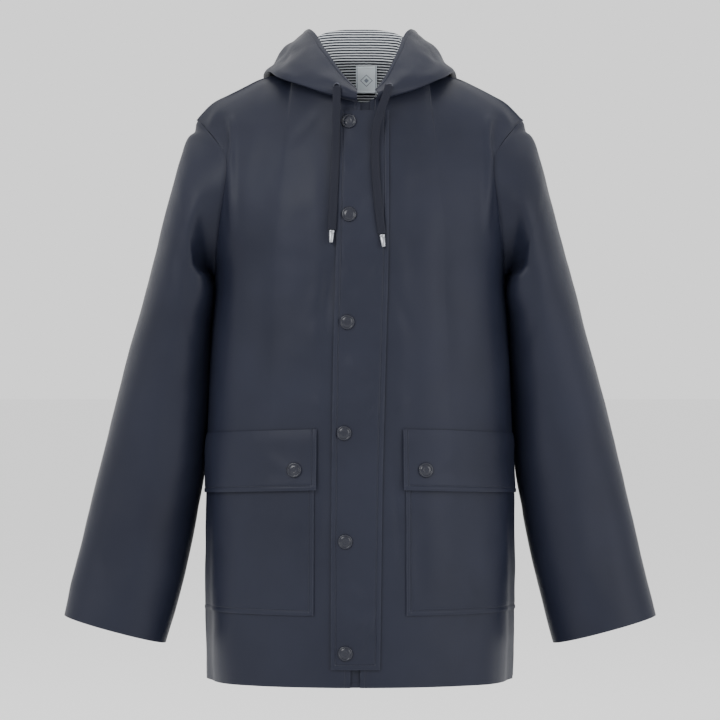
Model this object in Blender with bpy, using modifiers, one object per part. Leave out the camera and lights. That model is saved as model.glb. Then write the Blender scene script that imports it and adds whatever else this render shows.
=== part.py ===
"""Hooded raincoat, filled out in its worn shape with nobody inside.

The front faces -Y and the wearer's left side is +X. The origin lies between the two points where
the shoulder seams meet the neck seam, which is where the wearer's shoulders carry the coat.
Heights in the tables below are measured up from the hem, and half widths out from the middle.
"""

import math
from collections import namedtuple

import bmesh
import bpy
import numpy as np
from mathutils import Vector

# Cloth
SHELL_WALL = 0.0013
LINING_WALL = 0.0010
SEAM_GAP = 0.0003
FACET_ROOM = 0.0004
PATCH_WALL = 0.0010
ARMHOLE_GAP = 0.0019
SLEEVE_GAP = 0.0030
SLEEVE_LEAN = 0.0060

# The garment as a whole
NECK_POINT_HEIGHT = 0.7065
UNDERARM_HEIGHT = 0.470
SQUARENESS = 2.3
SIDE_SEAM_ANGLE = math.radians(84)
NECK_HALF_WIDTH = 0.080
NECK_FRONT_DEPTH = 0.088
NECK_FRONT_HEIGHT = 0.6618
NECK_BACK_DEPTH = 0.078
NECK_BACK_HEIGHT = 0.7251
NECK_SHARE = 0.4

# The closing edges of the fronts lean a little towards the wearer's left as they rise
CLOSING_GAP = 0.011
CLOSING_LEAN = 0.0115
CLOSING_HEM_X = -0.0055

Section = namedtuple("Section", "height half_width front back")
BODY_SECTIONS = [
    Section(0.000, 0.1780, 0.140, 0.138),
    Section(0.060, 0.1800, 0.140, 0.138),
    Section(0.220, 0.1785, 0.138, 0.136),
    Section(0.320, 0.1767, 0.136, 0.135),
    Section(0.420, 0.1720, 0.133, 0.132),
    Section(0.470, 0.1690, 0.130, 0.130),
]

ShoulderPoint = namedtuple("ShoulderPoint", "half_width height")
SHOULDER_LINE = [
    ShoulderPoint(0.0800, 0.7065),
    ShoulderPoint(0.1138, 0.6985),
    ShoulderPoint(0.1434, 0.6840),
    ShoulderPoint(0.1704, 0.6690),
    ShoulderPoint(0.1837, 0.6575),
    ShoulderPoint(0.1892, 0.6496),
]

ArmholePoint = namedtuple("ArmholePoint", "height half_width depth")
ARMHOLE_FRONT = [
    ArmholePoint(0.4700, 0.1690, -0.0193),
    ArmholePoint(0.5100, 0.1640, -0.0520),
    ArmholePoint(0.5550, 0.1575, -0.0660),
    ArmholePoint(0.6000, 0.1535, -0.0600),
    ArmholePoint(0.6300, 0.1700, -0.0360),
    ArmholePoint(0.6496, 0.1892, 0.0000),
]
ARMHOLE_BACK = [
    ArmholePoint(0.4700, 0.1690, -0.0193),
    ArmholePoint(0.5080, 0.1675, 0.0120),
    ArmholePoint(0.5520, 0.1645, 0.0470),
    ArmholePoint(0.6000, 0.1645, 0.0600),
    ArmholePoint(0.6320, 0.1770, 0.0430),
    ArmholePoint(0.6496, 0.1892, 0.0000),
]

# Soft folds of the body: each stands out from the section round one angle and dies out upwards
BodyFold = namedtuple("BodyFold", "angle spread depth top")
BODY_FOLDS = [
    BodyFold(52, 9, 0.0030, 0.40),
    BodyFold(74, 6, -0.0040, 0.44),
    BodyFold(108, 9, 0.0060, 0.46),
    BodyFold(129, 8, -0.0060, 0.42),
    BodyFold(150, 10, 0.0070, 0.47),
    BodyFold(180, 10, -0.0050, 0.36),
]

# Sleeve rings below the armhole: outer and inner edge of each, and its reach front to back
SleeveRing = namedtuple(
    "SleeveRing", "outer_x outer_height inner_x inner_height middle half_depth fullness"
)
SLEEVE_RINGS = [
    SleeveRing(0.2030, 0.6250, 0.1790, 0.4600, 0.002, 0.0720, 1.50),
    SleeveRing(0.2155, 0.5850, 0.1790, 0.4380, 0.004, 0.0760, 1.90),
    SleeveRing(0.2290, 0.5350, 0.1772, 0.4130, 0.008, 0.0765, 2.15),
    SleeveRing(0.2455, 0.4735, 0.1780, 0.3800, 0.010, 0.0755, 2.15),
    SleeveRing(0.2640, 0.4040, 0.1803, 0.3350, 0.012, 0.0720, 2.15),
    SleeveRing(0.2830, 0.3330, 0.1828, 0.2850, 0.010, 0.0660, 2.15),
    SleeveRing(0.3010, 0.2575, 0.1870, 0.2200, 0.006, 0.0590, 2.15),
    SleeveRing(0.3190, 0.1820, 0.1995, 0.1480, 0.002, 0.0530, 2.15),
    SleeveRing(0.3330, 0.1230, 0.2125, 0.0920, -0.002, 0.0490, 2.15),
    SleeveRing(0.3447, 0.0728, 0.2265, 0.0410, -0.006, 0.0470, 2.15),
]

# Hood, pushed back: one row for each section out from the neck seam, by its azimuth from the
# front. "Out" is away from the neck seam. The cloth leaves the seam, passes a crest, runs out
# and down to a fold, and comes back up along a bulging outer layer to the opening edge.
HoodSection = namedtuple(
    "HoodSection",
    "azimuth crest_out crest_height fold_out fold_height bulge_out bulge_height"
    " edge_out edge_height",
)
HOOD_SECTIONS = [
    HoodSection(0, 0.0015, 0.6690, 0.0150, 0.6680, 0.0135, 0.6760, 0.0010, 0.6800),
    HoodSection(15, 0.0015, 0.6740, 0.0155, 0.6730, 0.0125, 0.6860, -0.0070, 0.7010),
    HoodSection(30, 0.0015, 0.6820, 0.0170, 0.6800, 0.0080, 0.7000, -0.0160, 0.7210),
    HoodSection(60, 0.0020, 0.7030, 0.0250, 0.6955, 0.0060, 0.7185, -0.0260, 0.7430),
    HoodSection(90, 0.0020, 0.7190, 0.0290, 0.7065, 0.0070, 0.7270, -0.0240, 0.7560),
    HoodSection(120, 0.0070, 0.7320, 0.0470, 0.6860, 0.0330, 0.7270, -0.0080, 0.7600),
    HoodSection(150, 0.0130, 0.7560, 0.0680, 0.6180, 0.0860, 0.6900, 0.0350, 0.7590),
    HoodSection(165, 0.0150, 0.7625, 0.0760, 0.5890, 0.1010, 0.6650, 0.0600, 0.7550),
    HoodSection(180, 0.0155, 0.7640, 0.0790, 0.5800, 0.1060, 0.6580, 0.0690, 0.7535),
]
HOOD_FRONT_CORNER = 0.0105
HOOD_FRONT_SHIFT = 0.0070
HOOD_LIFT = 0.0048
CREST_RISE = 0.0010
HOOD_SEAM_GAP = 0.0008
STRIP_AZIMUTH_NECK = 150
STRIP_AZIMUTH_OPENING = 115
LINING_FIRST_COLUMN = 5
LINING_LAST_SHARE = 0.36
LINING_SETBACK = 0.0015
LINING_BOTTOM_LEVEL = 1.1

# Storm flap edges, by height
FlapRow = namedtuple("FlapRow", "height free_edge sewn_edge")
STORM_FLAP_ROWS = [
    FlapRow(0.0205, -0.0328, 0.0226),
    FlapRow(0.1500, -0.0326, 0.0243),
    FlapRow(0.2500, -0.0318, 0.0258),
    FlapRow(0.3700, -0.0304, 0.0290),
    FlapRow(0.4900, -0.0272, 0.0322),
    FlapRow(0.5900, -0.0252, 0.0328),
    FlapRow(0.6550, -0.0250, 0.0325),
]

# Pockets
POCKET_OUTER_SHARE = 0.985
POCKET_INNER_X = 0.0520
POCKET_BOTTOM = 0.0815
POCKET_TOP = 0.2760
FLAP_INNER_X = 0.0484
FLAP_TOP_INNER = 0.2923
FLAP_TOP_OUTER = 0.2857
FLAP_DEPTH = 0.0690
POCKET_SNAP_X = 0.0730
POCKET_SNAP_HEIGHT = 0.2459

# Snaps on the storm flap
SnapPlace = namedtuple("SnapPlace", "x height")
STORM_SNAPS = [
    SnapPlace(-0.0125, 0.6420),
    SnapPlace(-0.0124, 0.5353),
    SnapPlace(-0.0144, 0.4132),
    SnapPlace(-0.0179, 0.2878),
    SnapPlace(-0.0166, 0.1651),
    SnapPlace(-0.0164, 0.0392),
]
SNAP_RADIUS = 0.0085
SNAP_HEIGHT = 0.0030

# Drawcords: a flat braid with a metal tip
CORD_WIDTH = 0.0092
CORD_THICKNESS = 0.0026
CORD_ROWS = 24
TIP_LENGTH = 0.0145
TIP_RADIUS = 0.0026
EYELET_RADIUS = 0.0034
EYELET_WIRE = 0.0009
EYELET_HEIGHT = 0.6825
EYELET_X = {"right": 0.0262, "left": 0.0335}

# Where each free cord end hangs: out of its eyelet, over the hood's fold and down the front
CordPoint = namedtuple("CordPoint", "x y height")
CORD_ROUTES = {
    "right": [
        CordPoint(-0.0264, -0.1044, 0.6820),
        CordPoint(-0.0266, -0.1056, 0.6700),
        CordPoint(-0.0270, -0.1078, 0.6450),
        CordPoint(-0.0276, -0.1115, 0.6100),
        CordPoint(-0.0292, -0.1234, 0.5700),
        CordPoint(-0.0308, -0.1305, 0.5350),
        CordPoint(-0.0318, -0.1327, 0.5180),
    ],
    "left": [
        CordPoint(0.0330, -0.1030, 0.6835),
        CordPoint(0.0292, -0.1050, 0.6700),
        CordPoint(0.0240, -0.1060, 0.6560),
        CordPoint(0.0185, -0.1078, 0.6350),
        CordPoint(0.0172, -0.1122, 0.6100),
        CordPoint(0.0178, -0.1202, 0.5850),
        CordPoint(0.0204, -0.1285, 0.5500),
        CordPoint(0.0249, -0.1338, 0.5130),
    ],
}

# Neck label
LABEL_X = 0.008
LABEL_WIDTH = 0.026
LABEL_HEIGHT = 0.031
LABEL_WALL = 0.0008
LABEL_TOP = 0.7215

for old in list(bpy.data.objects):
    bpy.data.objects.remove(old, do_unlink=True)

coat = bpy.data.collections.new("raincoat")
bpy.context.scene.collection.children.link(coat)


def material(name, colour, roughness, metallic=0.0):
    made = bpy.data.materials.new(name)
    made.use_nodes = True
    shader = made.node_tree.nodes["Principled BSDF"]
    shader.inputs["Base Color"].default_value = (*colour, 1.0)
    shader.inputs["Roughness"].default_value = roughness
    shader.inputs["Metallic"].default_value = metallic
    return made


coated_cotton = material("coated_cotton", (0.030, 0.033, 0.050), 0.45)
striped_jersey = material("striped_jersey", (0.300, 0.320, 0.350), 0.85)
snap_lacquer = material("snap_lacquer", (0.020, 0.021, 0.030), 0.25, 0.6)
braid = material("braid", (0.018, 0.019, 0.030), 0.75)
tip_metal = material("tip_metal", (0.300, 0.310, 0.330), 0.30, 1.0)
label_satin = material("label_satin", (0.600, 0.660, 0.700), 0.55)


def columns_at(table, key, value):
    """The other columns of a table, read between its rows at a value of the key column."""
    keys = [getattr(row, key) for row in table]
    names = [name for name in table[0]._fields if name != key]
    return [np.interp(value, keys, [getattr(row, name) for row in table]) for name in names]


def smooth_curve(points, share):
    """A point on the smooth curve through a list of points, share 0 to 1 along it."""
    points = np.asarray(points, dtype=float)
    place = min(max(share, 0.0), 1.0) * (len(points) - 1)
    index = min(int(place), len(points) - 2)
    t = place - index
    before = points[max(index - 1, 0)]
    start, end = points[index], points[index + 1]
    after = points[min(index + 2, len(points) - 1)]
    return 0.5 * (
        2 * start
        + (end - before) * t
        + (2 * before - 5 * start + 4 * end - after) * t**2
        + (3 * start - before - 3 * end + after) * t**3
    )


def hermite(start, end, start_pull, end_pull, t):
    """A cubic from start to end that leaves and arrives along the two pulls."""
    return (
        (2 * t**3 - 3 * t**2 + 1) * start
        + (t**3 - 2 * t**2 + t) * start_pull
        + (3 * t**2 - 2 * t**3) * end
        + (t**3 - t**2) * end_pull
    )


def body_section(height, angle):
    """The body below the underarm, angle 0 at the centre front and pi at the centre back."""
    half_width, front, back = columns_at(BODY_SECTIONS, "height", height)
    power = 2 / SQUARENESS
    sine, cosine = math.sin(angle), math.cos(angle)
    x = half_width * math.copysign(abs(sine) ** power, sine)
    depth = front if cosine > 0 else back
    y = -depth * math.copysign(abs(cosine) ** power, cosine)
    swell = 0.0
    for fold in BODY_FOLDS:
        reach = max(0.0, 1 - height / fold.top)
        offset = (math.degrees(angle) - fold.angle) / fold.spread
        swell += fold.depth * reach * math.exp(-offset * offset)
    size = math.hypot(x, y)
    return np.array([x * (1 + swell / size), y * (1 + swell / size), height])


def neckline(angle):
    """The neck seam, angle 0 at the centre front and pi at the centre back."""
    sine, cosine = math.sin(angle), math.cos(angle)
    x = NECK_HALF_WIDTH * sine
    if cosine > 0:
        rise = abs(sine) ** 1.6
        height = NECK_FRONT_HEIGHT + (NECK_POINT_HEIGHT - NECK_FRONT_HEIGHT) * rise
        return np.array([x, -NECK_FRONT_DEPTH * cosine, height])
    height = NECK_BACK_HEIGHT - (NECK_BACK_HEIGHT - NECK_POINT_HEIGHT) * abs(sine) ** 3
    return np.array([x, -NECK_BACK_DEPTH * cosine, height])


def shoulder_seam(share):
    half_width = NECK_HALF_WIDTH + (SHOULDER_LINE[-1].half_width - NECK_HALF_WIDTH) * share
    (height,) = columns_at(SHOULDER_LINE, "half_width", half_width)
    return np.array([half_width, 0.0, height])


def armhole_point(table, share):
    rows = [(row.half_width, row.depth, row.height) for row in table]
    return smooth_curve(rows, share)


def upper_edge(share, faces_front):
    """The top of a front or half back: the neckline, and then the shoulder seam."""
    if share <= NECK_SHARE:
        quarter = share / NECK_SHARE * math.pi / 2
        return neckline(quarter if faces_front else math.pi - quarter)
    return shoulder_seam((share - NECK_SHARE) / (1 - NECK_SHARE))


def half_body(share, level, faces_front):
    """Half of the front or of the back, for +X. Share runs from the centre to the side seam.

    Level 0 to 1 is hem to underarm, and level 1 to 2 is underarm to shoulder."""
    if share < 0:
        return half_body(-share, level, faces_front) * np.array([-1.0, 1.0, 1.0])
    if faces_front:
        angle = share * SIDE_SEAM_ANGLE
    else:
        angle = math.pi - share * (math.pi - SIDE_SEAM_ANGLE)
    if level <= 1:
        return body_section(level * UNDERARM_HEIGHT, angle)

    def rise(portion, turn, t):
        low = body_section(UNDERARM_HEIGHT, turn)
        high = upper_edge(portion, faces_front)
        gain = high - low
        on_shoulder = min(1.0, portion / NECK_SHARE) ** 2
        leave = np.array([0.0, 0.0, 1.45 * gain[2]])
        neck_pull = np.array([0.0, 1.0 * gain[1], 0.75 * gain[2]])
        shoulder_dip = 0.10 if faces_front else -0.16
        shoulder_pull = np.array([0.0, 1.5 * gain[1], shoulder_dip * gain[2]])
        arrive = neck_pull * (1 - on_shoulder) + shoulder_pull * on_shoulder
        return hermite(low, high, leave, arrive, t)

    t = level - 1
    side_turn = SIDE_SEAM_ANGLE
    table = ARMHOLE_FRONT if faces_front else ARMHOLE_BACK
    correction = armhole_point(table, t) - rise(1.0, side_turn, t)
    return rise(share, angle, t) + correction * share**3


def front(share, level):
    return half_body(share, level, True)


def back(share, level):
    return half_body(share, level, False)


def closing_x(height):
    """The middle of the gap between the closing edges."""
    return CLOSING_HEM_X + CLOSING_LEAN * height / NECK_FRONT_HEIGHT


def find(surface, x, height):
    """The share and level at which a surface passes a given half width and height."""
    place = np.array([0.3, 1.0 if height > UNDERARM_HEIGHT else height / UNDERARM_HEIGHT])
    if height > UNDERARM_HEIGHT:
        place[1] = 1 + (height - UNDERARM_HEIGHT) / (NECK_POINT_HEIGHT - UNDERARM_HEIGHT)
    step = 1e-4
    for _ in range(25):
        here = surface(*place)
        miss = np.array([x - here[0], height - here[2]])
        along = (surface(place[0] + step, place[1]) - here) / step
        upward = (surface(place[0], place[1] + step) - here) / step
        slope = np.array([[along[0], upward[0]], [along[2], upward[2]]])
        place = place + 0.8 * np.linalg.solve(slope, miss)
        place = np.clip(place, [-0.6, 0.0], [1.0, 1.999])
    return place


def normal(surface, share, level):
    """The outward unit normal of a surface that stands for the +X half."""
    step = 1e-3
    low, high = max(level - step, 0.0), min(level + step, 2.0)
    along = surface(share + step, level) - surface(share - step, level)
    upward = surface(share, high) - surface(share, low)
    across = np.cross(along, upward)
    here = surface(share, level)
    outward = np.array([here[0], here[1], 0.05])
    if np.dot(across, outward) < 0:
        across = -across
    return across / np.linalg.norm(across)


def lifted(surface, share, level, lift):
    return surface(share, level) + normal(surface, share, level) * lift


def pull_in(points, first=0.0, last=0.0, bottom=0.0, top=0.0):
    """Draws the edges of a grid of points inwards. A gap may differ from row to row."""
    points = np.array(points, dtype=float)
    rows, columns, _ = points.shape

    def shift(edge, inner, gap):
        way = inner - edge
        length = np.linalg.norm(way, axis=-1, keepdims=True)
        return edge + way / length * np.reshape(gap, (-1, 1))

    made = points.copy()
    made[:, 0] = shift(points[:, 0], points[:, 1], np.broadcast_to(first, rows))
    made[:, -1] = shift(points[:, -1], points[:, -2], np.broadcast_to(last, rows))
    points = made.copy()
    made[0] = shift(points[0], points[1], np.broadcast_to(bottom, columns))
    made[-1] = shift(points[-1], points[-2], np.broadcast_to(top, columns))
    return made


def mirrored(points, side):
    return np.array(points) * np.array([side, 1.0, 1.0])


def cloth(name, points, wall, finish, tube=False):
    """A piece of cloth: a grid laid on a table of points and given its wall by Solidify."""
    points = np.array(points, dtype=float)
    rows, columns, _ = points.shape
    shape = bmesh.new()
    bmesh.ops.create_grid(shape, x_segments=columns - 1, y_segments=rows - 1, size=1.0)
    shape.verts.ensure_lookup_table()
    for vertex, place in zip(shape.verts, points.reshape(-1, 3)):
        vertex.co = (place[0], place[1], place[2] - NECK_POINT_HEIGHT)
    if tube:
        bmesh.ops.remove_doubles(shape, verts=shape.verts, dist=1e-6)
    mesh = bpy.data.meshes.new(name)
    shape.to_mesh(mesh)
    shape.free()
    mesh.materials.append(finish)
    mesh.shade_smooth()
    piece = bpy.data.objects.new(name, mesh)
    coat.objects.link(piece)
    thickness = piece.modifiers.new("wall", "SOLIDIFY")
    thickness.thickness = wall
    thickness.offset = 0.0
    return piece


SIDES = {"left": 1, "right": -1}
LOW_LEVELS = np.linspace(0, 1, 9)
HIGH_LEVELS = np.linspace(1, 2, 9)[1:]
LEVELS = np.concatenate([LOW_LEVELS, HIGH_LEVELS])
ARMHOLE_ROWS = LEVELS >= 1
FRONT_SHARES = np.array([0, 0.07, 0.14, 0.21, 0.275, 0.34, 0.4, 0.5, 0.6, 0.7, 0.8, 0.9, 1])
SIDE_GAPS = np.where(ARMHOLE_ROWS, ARMHOLE_GAP, SEAM_GAP)


def make_front(side_name):
    side = SIDES[side_name]
    rows = []
    for level in LEVELS:
        height = front(0.0, level)[2]
        edge_x = CLOSING_GAP / 2 + side * closing_x(height)
        start = find(front, edge_x, height)[0]
        shares = start + (1 - start) * FRONT_SHARES
        shares[FRONT_SHARES >= NECK_SHARE] = FRONT_SHARES[FRONT_SHARES >= NECK_SHARE]
        rows.append([front(share, level) for share in shares])
    points = pull_in(rows, 0.0, SIDE_GAPS, 0.0, 2 * SEAM_GAP)
    cloth(f"front_{side_name}", mirrored(points, side), SHELL_WALL, coated_cotton)


def make_back():
    shares = both_ways(FRONT_SHARES)
    rows = [[back(share, level) for share in shares] for level in LEVELS]
    points = pull_in(rows, SIDE_GAPS, SIDE_GAPS, 0.0, 2 * SEAM_GAP)
    cloth("back", points, SHELL_WALL, coated_cotton)


def sleeve_ring(ring, turn):
    """A point on a sleeve ring, turn 0 at the underarm, a quarter at the front, half on top."""
    outer = np.array([ring.outer_x, ring.middle, ring.outer_height])
    inner = np.array([ring.inner_x, ring.middle, ring.inner_height])
    power = 2 / ring.fullness
    cosine, sine = math.cos(turn * 2 * math.pi), math.sin(turn * 2 * math.pi)
    along = (outer - inner) / 2 * -math.copysign(abs(cosine) ** power, cosine)
    reach = np.array([0.0, -ring.half_depth * math.copysign(abs(sine) ** power, sine), 0.0])
    return (outer + inner) / 2 + along + reach


def armhole_ring(turn):
    if turn <= 0.5:
        return armhole_point(ARMHOLE_FRONT, turn * 2)
    return armhole_point(ARMHOLE_BACK, (1 - turn) * 2)


def make_sleeve(side_name):
    turns = np.linspace(0, 1, 17)
    shares = np.linspace(0, 1, 14)
    lines = []
    for turn in turns:
        through = [armhole_ring(turn)] + [sleeve_ring(ring, turn) for ring in SLEEVE_RINGS]
        lines.append([smooth_curve(through, share) for share in shares])
    points = np.array(lines).transpose(1, 0, 2)
    away = points[1] - points[0] + np.array([SLEEVE_LEAN, 0.0, 0.0])
    away /= np.linalg.norm(away, axis=-1, keepdims=True)
    points[0] += away * SLEEVE_GAP
    points[:, -1] = points[:, 0]
    cloth(f"sleeve_{side_name}", mirrored(points, SIDES[side_name]), SHELL_WALL,
          coated_cotton, tube=True)


def hood_curve(azimuth, side):
    """The points that the hood's cloth passes on one section, from neck seam to opening."""
    beyond = [row._replace(azimuth=360 - row.azimuth) for row in HOOD_SECTIONS[-2:-4:-1]]
    sections = HOOD_SECTIONS + beyond
    azimuths = [row.azimuth for row in sections]
    place = np.interp(azimuth, azimuths, np.linspace(0, 1, len(azimuths)))
    (_, crest_out, crest_height, fold_out, fold_height,
     bulge_out, bulge_height, edge_out, edge_height) = smooth_curve(sections, place)
    corner = math.asin((HOOD_FRONT_CORNER + side * HOOD_FRONT_SHIFT) / NECK_HALF_WIDTH)
    angle = math.radians(azimuth)
    if azimuth < 90:
        angle = corner + (math.pi / 2 - corner) * azimuth / 90
    seam = neckline(angle)
    crest_height = max(crest_height, seam[2] + HOOD_LIFT + CREST_RISE)
    way = np.array([math.sin(angle), -math.cos(angle), 0.0])

    def at(out, height):
        return np.array([seam[0], seam[1], 0.0]) + way * out + np.array([0.0, 0.0, height])

    round_off = 0.05 * (crest_height - fold_height) + 0.003
    dip = 0.3 * (crest_height - fold_height)
    before_fold = max(fold_out - 2.4 * round_off, 0.55 * crest_out + 0.45 * fold_out)
    return [
        at(0.0, seam[2] + HOOD_LIFT),
        at(crest_out, crest_height),
        at(0.62 * crest_out + 0.38 * fold_out, 0.70 * crest_height + 0.30 * fold_height),
        at(before_fold, fold_height + min(0.8 * round_off, dip)),
        at(fold_out - round_off, fold_height),
        at(fold_out, fold_height + round_off),
        at(bulge_out, bulge_height),
        at(edge_out, edge_height),
    ]


HOOD_STEPS = np.array([0, 0.6, 0.85, 1, 1.2, 1.5, 2, 2.5, 3, 3.5, 4, 4.35, 4.7, 5, 5.4, 6, 6.5, 7])
HOOD_SHARES = HOOD_STEPS / 7


def hood_surface(azimuth, share, side):
    folded = azimuth if azimuth <= 180 else 360 - azimuth
    point = smooth_curve(hood_curve(folded, side), share)
    return point if azimuth <= 180 else point * np.array([-1.0, 1.0, 1.0])


def hood_lifted(azimuth, share, side, lift):
    """The hood's surface moved towards its lined side."""
    step = 0.02
    along = hood_surface(azimuth + 1, share, side) - hood_surface(azimuth - 1, share, side)
    low, high = max(share - step, 0), min(share + step, 1)
    upward = hood_surface(azimuth, high, side) - hood_surface(azimuth, low, side)
    inward = np.cross(upward, along)
    return hood_surface(azimuth, share, side) + inward / np.linalg.norm(inward) * lift


def strip_azimuth(share):
    return STRIP_AZIMUTH_NECK + (STRIP_AZIMUTH_OPENING - STRIP_AZIMUTH_NECK) * share


LINING_LIFT = SHELL_WALL / 2 + SEAM_GAP + LINING_WALL / 2 + FACET_ROOM


def make_hood():
    for side_name, side in SIDES.items():
        shell, lining = [], []
        for share in HOOD_SHARES:
            azimuths = np.linspace(0, strip_azimuth(share), 11)
            shell.append([hood_lifted(a, share, side, 0) for a in azimuths])
            if share <= LINING_LAST_SHARE:
                lined = azimuths[LINING_FIRST_COLUMN:]
                lining.append([hood_lifted(a, share, side, LINING_LIFT) for a in lined])
        shell = pull_in(shell, 0.0, HOOD_SEAM_GAP, 0.0, 0.0)
        lining = pull_in(lining, 0.0, HOOD_SEAM_GAP, LINING_SETBACK, LINING_SETBACK)
        cloth(f"hood_side_{side_name}", mirrored(shell, side), SHELL_WALL, coated_cotton)
        cloth(f"lining_hood_side_{side_name}", mirrored(lining, side), LINING_WALL,
              striped_jersey)
    shell, lining = [], []
    for share in HOOD_SHARES:
        first = strip_azimuth(share)
        azimuths = np.linspace(first, 360 - first, 9)
        shell.append([hood_lifted(a, share, 1, 0) for a in azimuths])
        if share <= LINING_LAST_SHARE:
            lining.append([hood_lifted(a, share, 1, LINING_LIFT) for a in azimuths])
    shell = pull_in(shell, HOOD_SEAM_GAP, HOOD_SEAM_GAP, 0.0, 0.0)
    lining = pull_in(lining, HOOD_SEAM_GAP, HOOD_SEAM_GAP, LINING_SETBACK, LINING_SETBACK)
    cloth("hood_centre", shell, SHELL_WALL, coated_cotton)
    cloth("lining_hood_centre", lining, LINING_WALL, striped_jersey)


def both_ways(shares):
    return np.concatenate([-shares[:0:-1], shares])


def make_back_lining():
    shares = both_ways(FRONT_SHARES[FRONT_SHARES < NECK_SHARE])
    levels = LEVELS[LEVELS > LINING_BOTTOM_LEVEL]
    rows = [[lifted(back, share, level, -LINING_LIFT) for share in shares] for level in levels]
    points = pull_in(rows, 0.0, 0.0, 0.0, LINING_SETBACK)
    cloth("lining_back_neck", points, LINING_WALL, striped_jersey)


PATCH_LIFT = SHELL_WALL / 2 + SEAM_GAP + PATCH_WALL / 2 + FACET_ROOM
STORM_LIFT = SHELL_WALL + SEAM_GAP + 2 * FACET_ROOM
POCKET_FLAP_LIFT = PATCH_LIFT + PATCH_WALL + SEAM_GAP + FACET_ROOM


def on_front(x, height, lift):
    """A point over the fronts at a signed x, and the way the cloth faces there."""
    share, level = find(front, x, height)
    return lifted(front, share, level, lift), normal(front, share, level)


def make_storm_flap():
    rows = []
    for height in np.linspace(STORM_FLAP_ROWS[0].height, STORM_FLAP_ROWS[-1].height, 15):
        free_edge, sewn_edge = columns_at(STORM_FLAP_ROWS, "height", height)
        across = np.linspace(free_edge, sewn_edge, 5)
        rows.append([on_front(x, height, STORM_LIFT)[0] for x in across])
    cloth("storm_flap", rows, SHELL_WALL, coated_cotton)


def patch_shares(inner_x, height):
    start = find(front, inner_x, height)[0]
    later = FRONT_SHARES[FRONT_SHARES > start + 0.02][:-1]
    return np.concatenate([[start], later, [POCKET_OUTER_SHARE]])


def make_pocket(side_name):
    shares = patch_shares(POCKET_INNER_X, POCKET_BOTTOM)
    rows = []
    for height in np.linspace(POCKET_BOTTOM, POCKET_TOP, 6):
        level = height / UNDERARM_HEIGHT
        rows.append([lifted(front, share, level, PATCH_LIFT) for share in shares])
    cloth(f"pocket_{side_name}", mirrored(rows, SIDES[side_name]), PATCH_WALL, coated_cotton)


def make_pocket_flap(side_name):
    shares = patch_shares(FLAP_INNER_X, FLAP_TOP_INNER)
    rows = []
    for drop in (FLAP_DEPTH, FLAP_DEPTH * 0.5, FLAP_DEPTH * 0.18, 0.0):
        row = []
        for share in shares:
            slant = (share - shares[0]) / (shares[-1] - shares[0])
            height = FLAP_TOP_INNER + (FLAP_TOP_OUTER - FLAP_TOP_INNER) * slant - drop
            lift = POCKET_FLAP_LIFT if drop else PATCH_LIFT
            row.append(lifted(front, share, height / UNDERARM_HEIGHT, lift))
        rows.append(row)
    cloth(f"pocket_flap_{side_name}", mirrored(rows, SIDES[side_name]), PATCH_WALL,
          coated_cotton)


def located(piece, point, facing, side=1):
    """Stands a piece on a point, with its own Z along the way the cloth faces."""
    point, facing = mirrored(point, side), mirrored(facing, side)
    piece.location = (point[0], point[1], point[2] - NECK_POINT_HEIGHT)
    piece.rotation_euler = Vector(facing).to_track_quat("Z", "Y").to_euler()
    coat.objects.link(piece)


def snap_mesh():
    """Half the outline of a domed press-stud cap, which Screw turns round Z."""
    outline = [(SNAP_RADIUS * math.sin(math.radians(a)),
                SNAP_HEIGHT * (0.35 + 0.65 * math.cos(math.radians(a))))
               for a in (0, 30, 60, 90)]
    outline += [(SNAP_RADIUS, 0.0), (0.0, 0.0)]
    mesh = bpy.data.meshes.new("snap_cap")
    mesh.from_pydata([(x, 0.0, z) for x, z in outline],
                     [(i, i + 1) for i in range(len(outline) - 1)], [])
    mesh.materials.append(snap_lacquer)
    return mesh


def make_snap(name, mesh, point, facing):
    piece = bpy.data.objects.new(name, mesh)
    turn = piece.modifiers.new("turned", "SCREW")
    turn.steps = turn.render_steps = 20
    turn.use_merge_vertices = True
    turn.merge_threshold = 0.00001
    located(piece, point, facing)


def make_snaps():
    mesh = snap_mesh()
    for index, place in enumerate(STORM_SNAPS, start=1):
        lift = STORM_LIFT + SHELL_WALL / 2 + SEAM_GAP + FACET_ROOM
        make_snap(f"snap_{index}", mesh, *on_front(place.x, place.height, lift))
    for side_name, side in SIDES.items():
        lift = POCKET_FLAP_LIFT + PATCH_WALL / 2 + SEAM_GAP + FACET_ROOM
        place = on_front(side * POCKET_SNAP_X, POCKET_SNAP_HEIGHT, lift)
        make_snap(f"pocket_snap_{side_name}", mesh, *place)


def on_hood(x, height, side, lift):
    """The place on the hood's outer layer at a half width and height, and the way it faces."""
    tries = [(azimuth, share) for azimuth in np.linspace(2, 60, 59)
             for share in np.linspace(0.76, 0.98, 23)]

    def miss(place):
        point = hood_surface(*place, side)
        return math.hypot(point[0] - x, point[2] - height)

    azimuth, share = min(tries, key=miss)
    point = hood_lifted(azimuth, share, side, -lift)
    return point, (point - hood_surface(azimuth, share, side)) / lift


def make_eyelet(side_name, x, height):
    side = SIDES[side_name]
    lift = SHELL_WALL / 2 + EYELET_WIRE + SEAM_GAP
    point, facing = on_hood(x, height, side, lift)
    bpy.ops.mesh.primitive_torus_add(major_radius=EYELET_RADIUS, minor_radius=EYELET_WIRE,
                                     major_segments=20, minor_segments=8)
    piece = bpy.context.object
    piece.name = f"eyelet_{side_name}"
    piece.data.materials.append(tip_metal)
    piece.data.shade_smooth()
    for holder in list(piece.users_collection):
        holder.objects.unlink(piece)
    located(piece, point, facing, side)


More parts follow.
